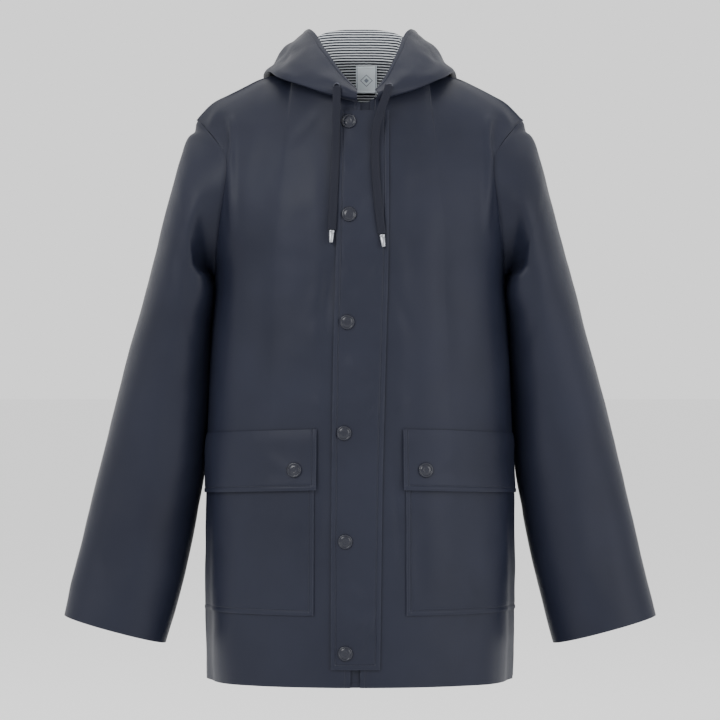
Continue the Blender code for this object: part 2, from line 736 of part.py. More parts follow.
def make_cord(side_name):
    make_eyelet(side_name, EYELET_X[side_name], EYELET_HEIGHT)
    through = CORD_ROUTES[side_name]
    rows = []
    for share in np.linspace(0, 1, CORD_ROWS):
        point = smooth_curve(through, share)
        way = smooth_curve(through, share + 0.01) - smooth_curve(through, share - 0.01)
        across = np.cross(way, [0.0, 1.0, 0.0])
        across *= CORD_WIDTH / 2 / np.linalg.norm(across)
        rows.append([point - across, point, point + across])
    cloth(f"drawcord_{side_name}", rows, CORD_THICKNESS, braid)

    way = rows[-1][1] - rows[-2][1]
    way /= np.linalg.norm(way)
    bpy.ops.mesh.primitive_cylinder_add(vertices=16, radius=TIP_RADIUS, depth=TIP_LENGTH)
    tip = bpy.context.object
    tip.name = f"cord_tip_{side_name}"
    tip.data.materials.append(tip_metal)
    for holder in list(tip.users_collection):
        holder.objects.unlink(tip)
    located(tip, rows[-1][1] + way * (TIP_LENGTH / 2 + 2 * SEAM_GAP), way)


def make_label():
    lift = LINING_LIFT + LINING_WALL / 2 + SEAM_GAP + LABEL_WALL / 2 + FACET_ROOM
    rows = []
    for height in np.linspace(LABEL_TOP - LABEL_HEIGHT, LABEL_TOP, 4):
        row = []
        for x in LABEL_X + LABEL_WIDTH * np.linspace(-0.5, 0.5, 4):
            share, level = find(back, x, height)
            row.append(lifted(back, share, level, -lift))
        rows.append(row)
    cloth("label", rows, LABEL_WALL, label_satin)


for name in SIDES:
    make_front(name)
    make_sleeve(name)
    make_pocket(name)
    make_pocket_flap(name)
    make_cord(name)
make_back()
make_hood()
make_back_lining()
make_storm_flap()
make_snaps()
make_label()
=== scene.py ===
"""Hooded raincoat: the finished cloth, trims and finishes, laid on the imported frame.

Distances are in metres. The front faces -Y, the wearer's left is +X, and the origin lies between
the two neck points, where the wearer's shoulders carry the coat.
"""
import math

import bmesh
import bpy
import numpy as np
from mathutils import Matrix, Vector, noise
from mathutils.bvhtree import BVHTree


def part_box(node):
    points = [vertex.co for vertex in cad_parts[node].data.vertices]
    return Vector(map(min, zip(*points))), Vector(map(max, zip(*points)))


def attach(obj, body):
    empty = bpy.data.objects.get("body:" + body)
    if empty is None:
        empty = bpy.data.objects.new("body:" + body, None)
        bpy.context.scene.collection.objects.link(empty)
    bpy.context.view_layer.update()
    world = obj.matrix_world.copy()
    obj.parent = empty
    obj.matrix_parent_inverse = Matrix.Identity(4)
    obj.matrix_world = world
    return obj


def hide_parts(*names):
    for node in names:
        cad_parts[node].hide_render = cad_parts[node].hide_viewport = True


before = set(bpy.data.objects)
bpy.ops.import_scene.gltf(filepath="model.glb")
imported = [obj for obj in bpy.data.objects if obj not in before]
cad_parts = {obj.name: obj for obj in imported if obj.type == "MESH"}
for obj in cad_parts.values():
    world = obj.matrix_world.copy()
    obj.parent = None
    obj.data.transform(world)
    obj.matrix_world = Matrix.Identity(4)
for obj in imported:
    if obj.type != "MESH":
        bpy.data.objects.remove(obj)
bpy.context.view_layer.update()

# Camera: level with the waist, four metres in front, with a long lens
# ---------------------------------------------------------------------------------------------
CAMERA_DISTANCE = 4.0
CAMERA_HEIGHT = -0.336
VIEW_WIDTH = 0.8424

lens = bpy.data.cameras.new("camera")
lens.lens = lens.sensor_width * CAMERA_DISTANCE / VIEW_WIDTH
camera = bpy.data.objects.new("camera", lens)
camera.location = (0.0, -CAMERA_DISTANCE, CAMERA_HEIGHT)
camera.rotation_euler = (math.radians(90), 0.0, 0.0)
bpy.context.scene.collection.objects.link(camera)
bpy.context.scene.camera = camera


# Studio: a pale floor and soft lights
# ---------------------------------------------------------------------------------------------
# The coat hangs clear of a wide pale floor. The lights are a broad key high on the wearer's
# right, a fill on the left and a low top light, in a bright even room.
FLOOR_HEIGHT = -0.90
FLOOR_SIZE = 90.0


class Finish:
    """A material as it is made: its nodes, and the few kinds of node that these finishes use."""

    def __init__(self, name):
        self.material = bpy.data.materials.new(name)
        self.material.use_nodes = True
        self.nodes = self.material.node_tree.nodes
        self.links = self.material.node_tree.links
        self.shader = self.nodes["Principled BSDF"]

    def feed(self, socket, value):
        """Gives a socket a number, a colour or another node's output."""
        if isinstance(value, bpy.types.NodeSocket):
            self.links.new(value, socket)
        else:
            socket.default_value = (*value, 1.0) if isinstance(value, tuple) else value

    def shade(self, **values):
        for name, value in values.items():
            self.feed(self.shader.inputs[name.replace("_", " ")], value)

    def node(self, kind, inputs=(), **settings):
        made = self.nodes.new(f"ShaderNode{kind}")
        for name, value in settings.items():
            setattr(made, name, value)
        for key, value in dict(inputs).items():
            self.feed(made.inputs[key], value)
        return made.outputs

    def step(self, operation, *values):
        return self.node("Math", enumerate(values), operation=operation)[0]

    def ranged(self, source, low, high, first=0.0, last=1.0, **settings):
        spans = {"From Min": first, "From Max": last, "To Min": low, "To Max": high}
        return self.node("MapRange", {0: source, **spans}, **settings)[0]

    def mixed(self, share, first, second):
        inputs = {"Factor": share, "A": first, "B": second}
        return self.node("Mix", inputs, data_type="RGBA")["Result"]

    def bumped(self, height, strength, distance, below=None):
        inputs = {"Height": height, "Strength": strength, "Distance": distance}
        if below is not None:
            inputs["Normal"] = below
        return self.node("Bump", inputs)[0]

    def noise(self, scale, detail, place=None):
        place = place or self.node("TexCoord")["Object"]
        return self.node("TexNoise", {"Scale": scale, "Detail": detail, "Vector": place})[0]

    def chart(self):
        """The lengths along the cloth, whole and as its two parts, across and along."""
        whole = self.node("UVMap", uv_map="cloth")["UV"]
        parts = self.node("SeparateXYZ", {0: whole})
        return whole, parts["X"], parts["Y"]


def deselect():
    if bpy.context.object and bpy.context.object.mode != "OBJECT":
        bpy.ops.object.mode_set(mode="OBJECT")
    bpy.ops.object.select_all(action="DESELECT")


deselect()
bpy.ops.mesh.primitive_plane_add(size=FLOOR_SIZE, location=(0.0, 0.0, FLOOR_HEIGHT))
floor = bpy.context.object
floor.name = "floor"
paper = Finish("pale_floor")
paper.shade(Base_Color=(0.92, 0.92, 0.92), Roughness=0.9)
floor.data.materials.append(paper.material)


def make_light(name, place, target, size, power):
    light = bpy.data.lights.new(name, "AREA")
    light.shape = "RECTANGLE"
    light.size, light.size_y = size
    light.energy = power
    holder = bpy.data.objects.new(name, light)
    holder.location = place
    holder.rotation_euler = (Vector(target) - Vector(place)).to_track_quat("-Z", "Y").to_euler()
    bpy.context.scene.collection.objects.link(holder)


make_light("key", (-2.2, -3.0, 1.9), (0.0, 0.0, -0.30), (1.8, 1.8), 95.0)
make_light("fill", (2.6, -2.6, 0.6), (0.0, 0.0, -0.35), (2.0, 2.4), 55.0)
make_light("top", (0.0, 0.6, 2.4), (0.0, 0.0, 0.0), (2.4, 1.0), 26.0)
world = bpy.data.worlds.new("studio")
world.use_nodes = True
world.node_tree.nodes["Background"].inputs["Color"].default_value = (1.0, 1.0, 1.0, 1.0)
world.node_tree.nodes["Background"].inputs["Strength"].default_value = 1.30
bpy.context.scene.world = world


# Drawcords
# ---------------------------------------------------------------------------------------------
# Flat cotton braid that runs in the hood's edge and comes out of an eyelet on each side. The
# free ends hang down the front, and each is closed by a crimped metal tip.
NECK_POINT_HEIGHT = 0.7065
CORD_WIDTH = 0.0092
CORD_THICKNESS = 0.0026
CORD_ROWS = 200
YARN_PITCH = 0.0017
CORD_ROUTES = {
    "right": [
        (-0.0264, -0.1044, 0.6820), (-0.0266, -0.1056, 0.6700), (-0.0270, -0.1078, 0.6450),
        (-0.0276, -0.1115, 0.6100), (-0.0292, -0.1234, 0.5700), (-0.0308, -0.1305, 0.5350),
        (-0.0318, -0.1327, 0.5180),
    ],
    "left": [
        (0.0330, -0.1030, 0.6835), (0.0292, -0.1050, 0.6700), (0.0240, -0.1060, 0.6560),
        (0.0185, -0.1078, 0.6350), (0.0172, -0.1122, 0.6100), (0.0178, -0.1202, 0.5850),
        (0.0204, -0.1285, 0.5500), (0.0249, -0.1338, 0.5130),
    ],
}


def smooth_curve(points, share):
    """A point on the smooth curve through a list of points, share 0 to 1 along it."""
    place = min(max(share, 0.0), 1.0) * (len(points) - 1)
    index = min(int(place), len(points) - 2)
    t = place - index
    before = points[max(index - 1, 0)]
    start, end = points[index], points[index + 1]
    after = points[min(index + 2, len(points) - 1)]
    return 0.5 * (
        2 * start
        + (end - before) * t
        + (2 * before - 5 * start + 4 * end - after) * t**2
        + (3 * start - before - 3 * end + after) * t**3
    )


def finish_mesh(name, mesh, material):
    mesh.materials.append(material)
    piece = bpy.data.objects.new(name, mesh)
    bpy.context.scene.collection.objects.link(piece)
    return piece


def make_active(piece):
    deselect()
    bpy.context.view_layer.objects.active = piece
    piece.select_set(True)


def close_ends(piece):
    """Caps the open ends of a tube."""
    make_active(piece)
    bpy.ops.object.mode_set(mode="EDIT")
    bpy.ops.mesh.select_all(action="DESELECT")
    bpy.ops.mesh.select_non_manifold()
    bpy.ops.mesh.fill_holes(sides=0)
    bpy.ops.mesh.select_all(action="SELECT")
    bpy.ops.mesh.normals_make_consistent(inside=False)
    bpy.ops.object.mode_set(mode="OBJECT")


def grid_mesh(name, points, spread=None, tube=False):
    """A mesh of four-sided faces through a table of points, with its cloth lengths as UVs."""
    rows, columns, _ = points.shape
    shape = bmesh.new()
    corners = [[shape.verts.new(place) for place in row] for row in points]
    chart = shape.loops.layers.uv.new("cloth")
    if spread is None:
        across = np.linalg.norm(np.diff(points, axis=1), axis=2)
        across = np.concatenate([np.zeros((rows, 1)), np.cumsum(across, axis=1)], axis=1)
        across -= across[:, columns // 2][:, None]
        along = np.linalg.norm(np.diff(points, axis=0), axis=2)
        along = np.concatenate([np.zeros((1, columns)), np.cumsum(along, axis=0)], axis=0)
        spread = np.dstack([across, along])
    for i in range(rows - 1):
        for j in range(columns - 1):
            ring = [(i, j), (i, j + 1), (i + 1, j + 1), (i + 1, j)]
            face = shape.faces.new([corners[a][b] for a, b in ring])
            for loop, (a, b) in zip(face.loops, ring):
                loop[chart].uv = spread[a][b]
    if tube:
        bmesh.ops.remove_doubles(shape, verts=shape.verts, dist=1e-6)
    mesh = bpy.data.meshes.new(name)
    shape.to_mesh(mesh)
    shape.free()
    mesh.shade_smooth()
    return mesh


def braid_material():
    """Flat braid: short slanting yarns that cross from both edges."""
    braid = Finish("cotton_braid")
    _, across, along = braid.chart()
    fold = braid.step("ABSOLUTE", across)
    waves = []
    for direction in (1.0, -1.0):
        slant = braid.step("MULTIPLY_ADD", fold, direction, along)
        waves.append(braid.step("SINE", braid.step("MULTIPLY", slant, 2 * math.pi / YARN_PITCH)))
    yarn = braid.step("MAXIMUM", *waves)
    braid.shade(Base_Color=braid.mixed(yarn, (0.0060, 0.0068, 0.0125), (0.0150, 0.0165, 0.0270)),
                Normal=braid.bumped(yarn, 0.7, 0.0004), Roughness=0.85,
                Specular_IOR_Level=0.2, Sheen_Weight=0.04)
    return braid.material


def metal_material(name, colour, roughness):
    """Plated metal, unevenly rubbed."""
    metal = Finish(name)
    scuffs = metal.noise(900.0, 3.0)
    dull = tuple(0.8 * part for part in colour)
    metal.shade(Base_Color=metal.mixed(scuffs, dull, colour), Metallic=1.0,
                Roughness=metal.ranged(scuffs, roughness - 0.06, roughness + 0.10))
    return metal.material


cotton_braid = braid_material()
tip_metal = metal_material("satin_tip_metal", (0.33, 0.34, 0.37), 0.30)


def make_cord(side):
    """The free end of one drawcord: a flat tube with a slight hollow down its middle."""
    points = np.array([(x, y, height - NECK_POINT_HEIGHT) for x, y, height in CORD_ROUTES[side]])
    centre = np.array([smooth_curve(points, share) for share in np.linspace(0, 1, CORD_ROWS)])
    way = np.gradient(centre, axis=0)
    way /= np.linalg.norm(way, axis=1, keepdims=True)
    across = np.cross(way, [0.0, 1.0, 0.0])
    across /= np.linalg.norm(across, axis=1, keepdims=True)
    out = np.cross(across, way)
    turns = np.linspace(0, 2 * math.pi, 25)
    lengths = np.concatenate([[0.0], np.cumsum(np.linalg.norm(np.diff(centre, axis=0), axis=1))])
    rows, spread = [], []
    for index in range(CORD_ROWS):
        wave = 1 + 0.035 * math.sin(lengths[index] / YARN_PITCH * 2 * math.pi)
        row, chart = [], []
        for turn in turns:
            cosine, sine = math.cos(turn), math.sin(turn)
            flat_x = math.copysign(abs(cosine) ** 0.6, cosine) * CORD_WIDTH / 2 * wave
            crown = math.copysign(abs(sine) ** 0.8, sine) * CORD_THICKNESS / 2
            crown *= 1 - 0.22 * math.exp(-((flat_x / 0.0009) ** 2))
            row.append(centre[index] + across[index] * flat_x - out[index] * crown)
            chart.append((flat_x, lengths[index]))
        rows.append(row)
        spread.append(chart)
    mesh = grid_mesh(f"cord_{side}", np.array(rows), np.array(spread), tube=True)
    cord = finish_mesh(f"cord_{side}", mesh, cotton_braid)
    close_ends(cord)
    return cord, centre


def make_tip(side, way):
    """The crimped metal tip: a tube pressed flat at its mouth and turned in at its end."""
    low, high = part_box(f"cord_tip_{side}")
    # how far along, half its width, half its thickness
    profile = [(0.0000, 0.0031, 0.0018), (0.0006, 0.0033, 0.0020), (0.0022, 0.0032, 0.0019),
               (0.0026, 0.0029, 0.0017), (0.0034, 0.0029, 0.0018), (0.0038, 0.0032, 0.0020),
               (0.0100, 0.0027, 0.0023), (0.0132, 0.0025, 0.0024), (0.0142, 0.0022, 0.0022),
               (0.0145, 0.0015, 0.0015)]
    centre = (Vector(low) + Vector(high)) / 2
    across = np.cross(way, [0.0, 1.0, 0.0])
    across /= np.linalg.norm(across)
    out = np.cross(across, way)
    rows = []
    for along, wide, thick in profile:
        middle = np.array(centre) + way * (along - profile[-1][0] / 2)
        rows.append([middle + across * wide * math.cos(t) + out * thick * math.sin(t)
                     for t in np.linspace(0, 2 * math.pi, 25)])
    mesh = grid_mesh(f"tip_{side}", np.array(rows), tube=True)
    tip = finish_mesh(f"tip_{side}", mesh, tip_metal)
    close_ends(tip)
    return tip


for side_name in CORD_ROUTES:
    cord_piece, cord_line = make_cord(side_name)
    heading = cord_line[-1] - cord_line[-3]
    heading /= np.linalg.norm(heading)
    tip_piece = make_tip(side_name, heading)
    for piece in (cord_piece, tip_piece):
        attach(piece, "root")
    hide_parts(f"drawcord_{side_name}")
    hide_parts(f"cord_tip_{side_name}")


# Shell cloth
# ---------------------------------------------------------------------------------------------
# Tightly woven cotton with a rubbery matte-satin coating. It is cut as two fronts, a back, two
# sleeves and three hood panels, and sewn with narrow felled seams that show as stitched lines.
SHELL_WALL = 0.0013
STITCH_INSET = 0.0058
SHARP_TURN = math.radians(85)


def shell_material():
    """Coated cotton. The edge attribute is the distance from the piece's sewn or hemmed edge,
    along which a patchy painted highlight lightens the colour.
    """
    shell = Finish("coated_cotton_shell")
    lengths, _, _ = shell.chart()
    cloudy = shell.noise(9.0, 4.0)
    grain = shell.noise(420.0, 3.0)
    edge = shell.node("Attribute", attribute_name="edge")["Fac"]
    tone = shell.mixed(shell.ranged(cloudy, 0.0, 1.0, 0.3, 0.7),
                       (0.0090, 0.0106, 0.0200), (0.0124, 0.0145, 0.0262))
    # painted highlight: a patchy lighter navy within about a millimetre of each sewn or hemmed
    # edge, standing in for the light that the turned edges catch
    painted_edge_highlight = shell.step("MULTIPLY", shell.ranged(edge, 0.55, 0.0, 0.0, 0.0012),
                      shell.ranged(shell.noise(140.0, 2.0), 0.0, 1.0, 0.35, 0.7))
    weave = shell.node("TexBrick", {"Scale": 1.0, "Brick Width": 0.0011, "Row Height": 0.00055,
                                    "Mortar Size": 0.00012, "Mortar Smooth": 1.0,
                                    "Vector": lengths}, offset=0.5)["Fac"]
    beside = shell.step("ABSOLUTE", shell.step("SUBTRACT", edge, STITCH_INSET))
    stitch_line = shell.ranged(beside, -1.0, 0.0, 0.0, 0.0011)
    fine = shell.bumped(weave, 0.35, 0.00006)
    coat = shell.bumped(grain, 0.5, 0.00012, fine)
    # the lighter navy mixed in here is the painted edge highlight, not wear of the coating
    shell.shade(Base_Color=shell.mixed(painted_edge_highlight, tone, (0.026, 0.029, 0.044)),
                Roughness=shell.ranged(cloudy, 0.40, 0.50, 0.3, 0.7),
                Normal=shell.bumped(stitch_line, 0.8, 0.0006, coat), Specular_IOR_Level=0.17)
    return shell.material


coated_cotton = shell_material()


def one_side(node, seed, wall):
    """The faces on one side of a piece's wall, spread from the face nearest to a point. The
    faces of the wall's own rim have an edge as long as the wall is thick."""
    shape = bmesh.new()
    shape.from_mesh(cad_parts[node].data)
    bmesh.ops.remove_doubles(shape, verts=shape.verts, dist=1e-6)
    first = min(shape.faces, key=lambda face: (face.calc_center_median() - Vector(seed)).length)
    rim = {face for face in shape.faces
           if any(abs(edge.calc_length() - wall) < 0.000015 for edge in face.edges)}
    kept, open_faces = {first}, [first]
    while open_faces:
        face = open_faces.pop()
        for edge in face.edges:
            for other in edge.link_faces:
                level = face.normal.angle(other.normal) < SHARP_TURN
                if level and other not in kept and other not in rim:
                    kept.add(other)
                    open_faces.append(other)
    bmesh.ops.delete(shape, geom=[f for f in shape.faces if f not in kept], context="FACES")
    return shape


def cad_grid(node, seed, corner, along, columns=0, wall=SHELL_WALL):
    """One side of a CAD piece as a table of points, row by row from a corner. With no columns
    stated the piece is a tube, whose rows close on themselves."""
    shape = one_side(node, seed, wall)
    start = min((v for v in shape.verts if v.is_boundary),
                key=lambda v: (v.co - Vector(corner)).length)

    def chain(first, allowed, rim_only=False):
        line = [first]
        while not columns or len(line) < columns:
            ahead = [edge.other_vert(line[-1]) for edge in line[-1].link_edges
                     if edge.is_boundary or not rim_only]
            ahead = [v for v in ahead if v in allowed and v not in line]
            if not ahead:
                break
            line.append(max(ahead, key=lambda v: (v.co - line[-1].co).dot(Vector(along)))
                        if len(line) == 1 else ahead[0])
        return line

    row = chain(start, set(shape.verts), rim_only=True)
    rows, seen = [row], set(row)
    while True:
        beyond = {edge.other_vert(v) for v in row for edge in v.link_edges} - seen
        if not beyond:
            break
        beside = [edge.other_vert(row[0]) for edge in row[0].link_edges
                  if edge.other_vert(row[0]) in beyond and (edge.is_boundary or not columns)]
        row = chain(min(beside, key=lambda v: (v.co - row[0].co).length), beyond)
        rows.append(row)
        seen.update(row)
    if len({len(line) for line in rows}) != 1:
        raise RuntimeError(f"{node}: the rows of its cloth could not be read")
    points = np.array([[tuple(v.co) for v in line] for line in rows])
    shape.free()
    return points if columns else np.concatenate([points, points[:, :1]], axis=1)


def finer(points, down, across, closed=False):
    """The same cloth with more rows and columns, on smooth curves through the ones given."""
    rows, columns, _ = points.shape
    points = np.array([smooth_curve(points, s) for s in np.linspace(0, 1, (rows - 1) * down + 1)])
    turned = points.transpose(1, 0, 2)
    shares = np.linspace(0, 1, (columns - 1) * across + 1)
    if closed:
        turned = np.concatenate([turned[-2:-1], turned, turned[1:2]])
        shares = (1 + shares * (columns - 1)) / (columns + 1)
    return np.array([smooth_curve(turned, s) for s in shares]).transpose(1, 0, 2)


def facing(points, seed):
    """The unit normals of a table of points, on the side that a point outside it lies on."""
    normals = np.cross(np.gradient(points, axis=1), np.gradient(points, axis=0))
    normals /= np.maximum(np.linalg.norm(normals, axis=2, keepdims=True), 1e-12)
    away = np.array(seed) - points
    nearest = np.unravel_index(np.argmin(np.linalg.norm(away, axis=2)), away.shape[:2])
    return normals if np.dot(normals[nearest], away[nearest]) > 0 else -normals


def reach(points, axis):
    """How far each point lies along its row or column, measured on the cloth."""
    steps = np.linalg.norm(np.diff(points, axis=axis), axis=2)
    pad = [(0, 0), (0, 0)]
    pad[axis] = (1, 0)
    return np.cumsum(np.pad(steps, pad), axis=axis)


def edge_distance(points, borders):
    """Each point's distance from the named borders: first, last, bottom and top."""
    far = np.full(points.shape[:2], 1.0)
    across, along = reach(points, 1), reach(points, 0)
    found = {"first": across, "last": across[:, -1:] - across,
             "bottom": along, "top": along[-1:] - along}
    for border in borders:
        far = np.minimum(far, found[border])
    return far


def stretched(points, gaps):
    """Lets named borders of the cloth out by a length each, so that it closes on its seam."""
    points = points.copy()
    for border, gap in gaps.items():
        axis, edge, inner = {"first": (1, 0, 1), "last": (1, -1, -2),
                             "bottom": (0, 0, 1), "top": (0, -1, -2)}[border]
        line = np.take(points, edge, axis=axis)
        way = line - np.take(points, inner, axis=axis)
        way /= np.maximum(np.linalg.norm(way, axis=-1, keepdims=True), 1e-9)
        if axis:
            points[:, edge] = line + way * gap
        else:
            points[edge] = line + way * gap
    return points


def rumple(points, size, depth, seed):
    """Slight unevenness of the cloth, in hollows about as wide as the size."""
    flat = points.reshape(-1, 3) / size + seed
    values = [noise.noise(Vector(place)) for place in flat]
    return np.array(values).reshape(points.shape[:2]) * depth


def sew(name, points, normals, wall, finish, node=None, borders=(),
        tube=False, spread=None):
    """Makes a cloth piece from the outer side of its shape, and puts it on the frame."""
    mesh = grid_mesh(name, points, spread)
    attribute = mesh.attributes.new("edge", "FLOAT", "POINT")
    attribute.data.foreach_set("value", edge_distance(points, borders).ravel().astype(np.float32))
    middle = tuple(n // 2 for n in points.shape[:2])
    own = np.cross(np.gradient(points, axis=1), np.gradient(points, axis=0))[middle]
    if np.dot(own, normals[middle]) < 0:
        mesh.flip_normals()
    piece = finish_mesh(name, mesh, finish)
    make_active(piece)
    if tube:
        weld = piece.modifiers.new("closed", "WELD")
        weld.merge_threshold = 0.00001
        bpy.ops.object.modifier_apply(modifier="closed")
    thickness = piece.modifiers.new("wall", "SOLIDIFY")
    thickness.thickness = wall
    thickness.offset = -1.0
    bpy.ops.object.modifier_apply(modifier="wall")
    piece.data.shade_smooth()
    piece.data.set_sharp_from_angle(angle=math.radians(60))
    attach(piece, "root")
    if node:
        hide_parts(node)
    return piece


# Fronts and back
# ---------------------------------------------------------------------------------------------
# Two fronts and a one-piece back, joined at the side and shoulder seams. The cloth hangs almost
# smooth. Broad soft folds fall from the shoulders, and a sharper one stands beside each armhole.
# Each fold: x and height of its start and of its end, its half width, and how far it stands out
FRONT_FOLDS = [
    # the upright fold beside the armhole, and the hollow between it and the seam
    (0.1500, 0.648, 0.1460, 0.520, 0.0052, 0.0034),
    (0.1535, 0.612, 0.1600, 0.650, 0.0070, -0.0042),
    (0.1660, 0.662, 0.1760, 0.640, 0.0050, 0.0016),
    # broad folds down the chest and the skirt
    (0.1180, 0.640, 0.1080, 0.330, 0.0200, -0.0018),
    (0.0830, 0.620, 0.0900, 0.300, 0.0240, 0.0022),
    (0.0500, 0.600, 0.0440, 0.300, 0.0100, 0.0012),
    (0.1380, 0.480, 0.1480, 0.320, 0.0140, 0.0016),
    (0.1250, 0.230, 0.1330, 0.050, 0.0220, -0.0018),
    (0.0760, 0.240, 0.0820, 0.060, 0.0180, 0.0016),
    # short pulls towards the neck, and from the flap's seam
    (0.0480, 0.655, 0.0760, 0.620, 0.0060, -0.0014),
    (0.0430, 0.440, 0.0560, 0.405, 0.0070, -0.0014),
    (0.0410, 0.316, 0.0540, 0.326, 0.0050, 0.0013),
    (0.0400, 0.235, 0.0470, 0.140, 0.0050, -0.0010),
]
RIGHT_FRONT_FOLDS = [
    (-0.0330, 0.480, -0.0420, 0.400, 0.0075, -0.0026),
    (-0.0480, 0.445, -0.0560, 0.385, 0.0110, 0.0016),
    (-0.0900, 0.560, -0.0980, 0.470, 0.0160, 0.0012),
]
LEFT_FRONT_FOLDS = [
    (0.0420, 0.545, 0.0560, 0.470, 0.0110, -0.0012),
    (0.0980, 0.520, 0.1090, 0.420, 0.0170, -0.0012),
]
BACK_FOLDS = [
    (0.1480, 0.640, 0.1400, 0.480, 0.0070, 0.0034),
    (-0.1460, 0.645, -0.1420, 0.500, 0.0065, 0.0030),
    (0.0600, 0.540, 0.0780, 0.120, 0.0200, 0.0030),
    (-0.0760, 0.560, -0.0620, 0.160, 0.0220, 0.0026),
    (0.0120, 0.480, 0.0040, 0.080, 0.0180, -0.0024),
    (0.1180, 0.430, 0.1240, 0.060, 0.0170, -0.0022),
    (-0.1220, 0.400, -0.1180, 0.090, 0.0150, -0.0024),
    (-0.0300, 0.300, -0.0250, 0.030, 0.0120, 0.0014),
]


def fold_relief(points, folds, mirror=False, across=0):
    """How far soft folds raise the cloth. Each runs between two places seen from the front, or
    from the side where across is 1."""
    places = np.dstack([points[..., across], points[..., 2] + NECK_POINT_HEIGHT])
    total = np.zeros(points.shape[:2])
    for x1, height1, x2, height2, width, depth in folds:
        for side in (1, -1) if mirror else (1,):
            start, way = np.array([x1 * side, height1]), np.array([(x2 - x1) * side,
                                                                   height2 - height1])
            along = np.clip((places - start) @ way / (way @ way), 0, 1)
            away = np.linalg.norm(places - start - along[..., None] * way, axis=2)
            strength = 0.30 + 0.70 * np.sin(math.pi * along) ** 0.8
            total += depth * strength * np.exp(-((away / width) ** 2))
    return total


def front_relief(points):
    """The relief that all the layers on the fronts share."""
    total = fold_relief(points, FRONT_FOLDS, mirror=True)
    total += fold_relief(points, RIGHT_FRONT_FOLDS + LEFT_FRONT_FOLDS)
    flat = points * np.array([1.0, 0.0, 1.0])
    total += rumple(flat, 0.060, 0.0016, 3.0) + rumple(flat, 0.021, 0.00035, 8.0)
    height = points[..., 2] + NECK_POINT_HEIGHT
    return total * np.clip((0.700 - height) / 0.035, 0, 1)


def edge_roll(distance):
    """A turned and stitched edge: a soft roll, and a line pressed in by the stitches."""
    return (0.00055 * np.exp(-(((distance - 0.0028) / 0.0021) ** 2))
            - 0.00045 * np.exp(-(((distance - STITCH_INSET) / 0.0008) ** 2)))


ARMHOLE_FOOT = 0.468
ARMHOLE_GAP = 0.0022
SIDE_GAP = 0.0004
NECK_GAP = 0.0046


def side_gap(points):
    """How far each row's side edge has to reach: to the sleeve, or below it to the side seam."""
    height = points[:, :1, 2] + NECK_POINT_HEIGHT
    return np.where(height > ARMHOLE_FOOT, ARMHOLE_GAP, SIDE_GAP)


def make_front(side_name, side):
    """One front, with its relief faded out under the side and armhole seams."""
    hem_x = {"left": 0.0, "right": -0.011}[side_name]
    seed = (side * 0.1, -0.3, -0.3)
    points = cad_grid(f"front_{side_name}", seed, (hem_x, -0.141, -0.7065), (side, 0, 0), 13)
    points = finer(points, 10, 8)
    points = stretched(points, {"last": side_gap(points), "top": NECK_GAP})
    normals = facing(points, seed)
    hidden_rim = np.clip(reach(points, 1)[:, -1:] - reach(points, 1), 0, 0.004) / 0.004
    points = points + normals * (front_relief(points) * hidden_rim)[..., None]
    sew(f"shell_front_{side_name}", points, normals, SHELL_WALL, coated_cotton,
        f"front_{side_name}", borders=("first",))
    return points, normals


front_points = {}
for side_name, side in (("left", 1), ("right", -1)):
    front_points[side_name] = make_front(side_name, side)

# Inside the opening a narrow facing joins the two turned edges. It shows as a dark line below
# the storm flap, where the fronts stand a little apart.
FACING_DEPTH = 0.0034
facing_columns = [(front_points[side_name][0] - front_points[side_name][1] * FACING_DEPTH)[:, i]
                  for side_name, i in (("left", 5), ("left", 0), ("right", 0), ("right", 5))]
facing_points = np.stack(facing_columns, axis=1)
facing_points = finer(facing_points, 1, 4)
sew("front_facing", facing_points, facing(facing_points, (0.0, -3.0, -0.3)), 0.0008,
    coated_cotton, borders=("bottom",))

back_seed = (0.0, 0.4, -0.3)
back_points = cad_grid("back", back_seed, (-0.177, -0.02, -0.7065), (0, 1, 0), 25)
back_points = finer(back_points, 10, 6)
back_points = stretched(back_points, {"first": side_gap(back_points),
                                      "last": side_gap(back_points), "top": 0.0008})
back_normals = facing(back_points, back_seed)
back_reach = reach(back_points, 1)
back_rim = np.clip(np.minimum(back_reach, back_reach[:, -1:] - back_reach), 0, 0.004) / 0.004
back_fall = np.clip((0.560 - back_points[..., 2] - NECK_POINT_HEIGHT) / 0.10, 0.25, 1)
back_lift = fold_relief(back_points, BACK_FOLDS) * back_fall
back_lift += rumple(back_points, 0.065, 0.0020, 21.0) + rumple(back_points, 0.021, 0.0003, 9.0)
back_points = back_points + back_normals * (back_lift * back_rim)[..., None]
sew("shell_back", back_points, back_normals, SHELL_WALL, coated_cotton, "back",
    borders=("first", "last"))


# Sleeves
# ---------------------------------------------------------------------------------------------
# Straight one-piece sleeves, set in flat at the armhole and closed by one seam under the arm.
# They hang nearly smooth, with a soft break at the elbow and a plain turned cuff.
SLEEVE_FOLDS = [
    (0.2060, 0.560, 0.1900, 0.470, 0.0090, -0.0022),
    (0.2200, 0.500, 0.1960, 0.400, 0.0120, 0.0018),
    (0.2060, 0.430, 0.1860, 0.380, 0.0080, -0.0020),
    (0.2520, 0.420, 0.2760, 0.250, 0.0180, 0.0016),
    (0.2120, 0.330, 0.2240, 0.240, 0.0130, -0.0018),
    (0.2700, 0.240, 0.2880, 0.110, 0.0160, -0.0014),
    (0.2460, 0.200, 0.2580, 0.090, 0.0150, 0.0014),
    (0.2280, 0.600, 0.2360, 0.520, 0.0130, 0.0012),
]


# how far the cloth moves in to lie against the body, all down its inner side and at the underarm
BODY_GAP = 0.0038
UNDERARM_GAP = 0.0085
UNDERARM_HEIGHT = 0.452


